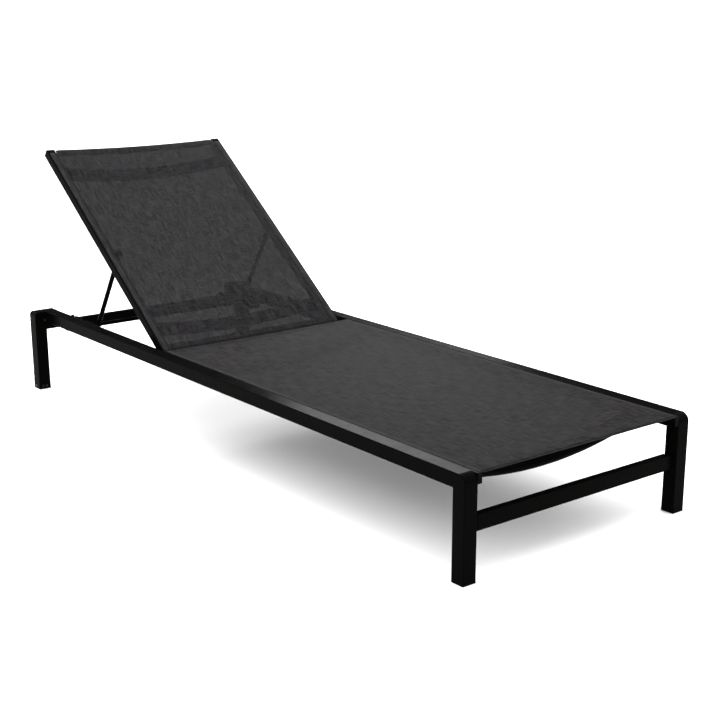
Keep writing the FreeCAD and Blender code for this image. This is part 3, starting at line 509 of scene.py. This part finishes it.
def back_section():
    """Half of the back sling's section: from the middle, over the side tube, and down into its slot."""
    top = BACK_FACE + 0.3 * MM + CLOTH / 2
    bend = 1.4 * MM
    flat = spaced(0.0, BACK_INNER - 1 * MM, 26)
    flat += spaced(BACK_INNER + 1 * MM, BACK_SLOT - bend, 14)
    section = [(x, top) for x in flat]
    section += arc(BACK_SLOT - bend, top - bend, bend, 90, 0, 5)[1:]
    section += [(BACK_SLOT, n) for n in spaced(top - bend, BACK_FACE - 2.6 * MM, 2)[1:]]
    return mirrored(section)


def back_end(x, edge, towards_middle, curve):
    """The edge of the cloth, drawn in between the side tubes."""
    return edge + towards_middle * curve * crown(x, BACK_HALF)


def back_stop(x):
    """The upper edge of the cloth, which stops short of the side tubes' capped ends."""
    over_tube = abs(x) > BACK_INNER
    return back_end(x, BACK_END, -1, BACK_CURVE) - (10 * MM if over_tube else 0.0)


def back_height(x, along, n):
    """The back's cloth hangs slightly between its tubes and is pinched a little along its seams."""
    length = (along - BACK_START) / (BACK_END - BACK_START)
    sag = BACK_SAG * (0.6 + 0.4 * math.sin(math.pi * min(1.0, max(0.0, length))))
    span = crown(x, BACK_INNER)
    pinch = sum(math.exp(-((abs(x) - seam) / (1.4 * MM)) ** 2) for seam in BACK_SEAMS)
    return n - sag * span + 0.3 * MM * ripple(x, along, 2.1) * min(1.0, span * 6) - 0.3 * MM * pinch


def back_sling():
    section = back_section()
    across = arc_lengths(section)
    grid, uvs = [], []
    for t in spaced(0.0, 1.0, 90):
        row, row_uv = [], []
        for (x, n), u in zip(section, across):
            start, stop = back_end(x, BACK_START, 1, 1.5 * MM), back_stop(x)
            along = start + (stop - start) * t
            row.append(on_back(x, along, back_height(x, along, n)))
            row_uv.append((u, along))
        grid.append(row)
        uvs.append(row_uv)
    fabric = sling_fabric("sling_back", BACK_SEAMS[1], BACK_THROUGH, BACK_SEAMS)
    cloth = cloth_piece("back_sling_cloth", grid, uvs, "backrest", fabric)
    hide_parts("back_sling")
    hems = [back_hem("back_hem_low", BACK_START, 1, 1.5 * MM), back_hem("back_hem_top", BACK_END, -1, BACK_CURVE)]
    # The cord along the top edge is painted shade for the rolled-over edge of the cloth.
    extras = [back_seams(), back_shade_cord()]
    return cloth


def back_hem(name, edge, inwards, curve):
    """The cloth's end folded back behind itself."""
    half = BACK_INNER - 1 * MM
    fold = 0.8 * MM
    deep = 24 * MM
    top = BACK_FACE + 0.3 * MM + CLOTH / 2
    profile = [(deep, -2 * fold), (deep / 2, -2 * fold), (0.0, -2 * fold)]
    profile += [(-fold * math.sin(a), -fold - fold * math.cos(a)) for a in spaced(0.0, math.pi, 6)[1:]]
    grid, uvs = [], []
    for inset, drop in profile:
        row, row_uv = [], []
        for x in spaced(-half, half, 40):
            along = back_end(x, edge, inwards, curve) + inwards * inset
            row.append(on_back(x, along, back_height(x, along, top) + drop))
            row_uv.append((x, along))
        grid.append(row)
        uvs.append(row_uv)
    return cloth_piece(name, grid, uvs, "backrest", hem_cloth)


def back_shade_cord():
    """A black cord round the free upper edge between the side tubes. It is painted shade, standing in for the cloth's
    rolled-over edge, which faces away from the light.
    """
    top = BACK_FACE - 0.4 * MM
    path = []
    for x in spaced(-BACK_INNER + 3 * MM, BACK_INNER - 3 * MM, 60):
        along = back_stop(x) + 1.2 * MM
        path.append(on_back(x, along, back_height(x, along, top)))
    return ring_tube("back_edge_shade_cord", path, 2.0 * MM, "backrest", seam_thread)


def back_seams():
    """Two rows of stitches up each side, where the pocket for the edge rod is closed, and one along each hem."""
    out = (on_back(0, 0, 1) - on_back(0, 0, 0)).normalized()
    top = BACK_FACE + 0.3 * MM + CLOTH + 0.1 * MM
    runs = []
    for side in (-1, 1):
        for seam in BACK_SEAMS:
            path = [on_back(side * seam, along, back_height(seam, along, top))
                    for along in spaced(BACK_START + 4 * MM, back_stop(seam) - 4 * MM, 60)]
            runs.append((path, out))
    for edge, inwards, curve in ((BACK_START, 1, 1.5 * MM), (BACK_END, -1, BACK_CURVE)):
        path = []
        for x in spaced(-BACK_INNER, BACK_INNER, 60):
            along = back_end(x, edge, inwards, curve) + inwards * 17 * MM
            path.append(on_back(x, along, back_height(x, along, top)))
        runs.append((path, out))
    return stitches("back_stitches", runs, "backrest")


seat_sling()
back_sling()


# ---------------------------------------------------------------- weld beads

def ring_path(centre, u, v, radius, count=48):
    """Points round a circle, the last one on the first."""
    return [centre + (u * math.cos(a) + v * math.sin(a)) * radius for a in spaced(0.0, 2 * math.pi, count)]


def spreader_welds():
    """Fillet welds where the back's spreaders meet its side tubes."""
    up = (on_back(0, 0, 1) - on_back(0, 0, 0)).normalized()
    along = (on_back(0, 1, 0) - on_back(0, 0, 0)).normalized()
    for name in ("top", "low"):
        low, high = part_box("back_spreader_" + name)
        tube = back_frame.inverted() @ Vector((0, (low.y + high.y) / 2, (low.z + high.z) / 2))
        for label, side in (("left", -1), ("right", 1)):
            centre = on_back(side * (BACK_INNER - 0.6 * MM), tube.y, -8 * MM)
            path = [p for p in ring_path(centre, along, up, 19 * MM)
                    if abs((back_frame.inverted() @ p).z) < BACK_FACE + 1 * MM]
            ring_tube(f"weld_{name}_{label}", path, 1.6 * MM, "backrest", coat, 8, 0.12)


# ---------------------------------------------------------------- studio

# The surround's strength at the horizon and high up, with the heights between which it changes, as sines.
SKY_LOW, SKY_HIGH = (0.1, 1.15), (0.7, 2.9)
# A dark flag beyond the lounger, which keeps the rails' upper faces black: its direction and its edges.
FLAG = (0.55, 0.80, 0.26)
FLAG_EDGE = (0.84, 0.95)
FLAG_FOOT = (0.03, 0.09)
FLAG_STRENGTH = 0.05


def studio():
    """A pale floor that runs out of view, a pale surround with a dark flag in it, and soft lights."""
    size = 30.0
    mesh = bpy.data.meshes.new("floor")
    mesh.from_pydata([(-size, -size, 0), (size, -size, 0), (size, size, 0), (-size, size, 0)], [], [(0, 1, 2, 3)])
    mesh.materials.append(studio_floor())
    floor = bpy.data.objects.new("floor", mesh)
    bpy.context.scene.collection.objects.link(floor)

    world = bpy.data.worlds.new("studio")
    bpy.context.scene.world = world
    world.use_nodes = True
    tree = world.node_tree
    sky = tree.nodes["Background"]
    sky.inputs["Color"].default_value = (1.0, 1.0, 1.0, 1.0)
    direction = tree.nodes.new("ShaderNodeTexCoord")
    parts = tree.nodes.new("ShaderNodeSeparateXYZ")
    tree.links.new(direction.outputs["Generated"], parts.inputs[0])
    toward_flag = tree.nodes.new("ShaderNodeVectorMath")
    toward_flag.operation = "DOT_PRODUCT"
    toward_flag.inputs[1].default_value = FLAG
    tree.links.new(direction.outputs["Generated"], toward_flag.inputs[0])

    def change(socket, low, high, at_low, at_high):
        made = tree.nodes.new("ShaderNodeMapRange")
        for name, value in (("From Min", low), ("From Max", high), ("To Min", at_low), ("To Max", at_high)):
            made.inputs[name].default_value = value
        tree.links.new(socket, made.inputs["Value"])
        return made.outputs["Result"]

    def combine(operation, a, b):
        made = tree.nodes.new("ShaderNodeMath")
        made.operation = operation
        tree.links.new(a, made.inputs[0])
        tree.links.new(b, made.inputs[1])
        return made.outputs[0]

    height = parts.outputs["Z"]
    beside_flag = change(toward_flag.outputs["Value"], *FLAG_EDGE, 1.0, FLAG_STRENGTH)
    below_flag = change(height, *FLAG_FOOT, 1.0, 0.0)
    flagged = combine("MAXIMUM", beside_flag, below_flag)
    glow = change(height, SKY_LOW[0], SKY_HIGH[0], SKY_LOW[1], SKY_HIGH[1])
    tree.links.new(combine("MULTIPLY", glow, flagged), sky.inputs["Strength"])
    bpy.context.scene.view_settings.view_transform = "Standard"

    soft_light("overhead", (0.3, 0.6, 3.0), (0.0, 0.1, 0.0), 3.0, 60.0)
    soft_light("left", (-3.2, -0.8, 2.2), (0.0, 0.0, 0.3), 1.6, 20.0)
    soft_light("behind", (1.6, 1.6, 1.5), (-0.36, -0.9, 0.25), 1.0, 42.0)


def soft_light(name, place, aim, size, power):
    """A square softbox that points at a place."""
    light = bpy.data.lights.new(name, "AREA")
    light.size = size
    light.energy = power
    lamp = bpy.data.objects.new(name, light)
    lamp.location = place
    lamp.rotation_euler = (Vector(aim) - Vector(place)).to_track_quat("-Z", "Y").to_euler()
    bpy.context.scene.collection.objects.link(lamp)


def camera():
    """A level eye-height view from the foot end's left."""
    yaw, pitch, roll = math.radians(-38.895), math.radians(15.910), math.radians(0.178)
    data = bpy.data.cameras.new("camera")
    data.sensor_width = 36.0
    data.lens = 67.46
    data.shift_x = -0.0283
    data.shift_y = 0.0354
    data.dof.use_dof = False
    made = bpy.data.objects.new("camera", data)
    made.location = (-2.1507, -2.9370, 1.1953)
    turn = Matrix.Rotation(yaw, 4, "Z") @ Matrix.Rotation(math.pi / 2 - pitch, 4, "X") @ Matrix.Rotation(roll, 4, "Z")
    made.rotation_euler = turn.to_euler()
    bpy.context.scene.collection.objects.link(made)
    bpy.context.scene.camera = made


spreader_welds()
studio()
camera()
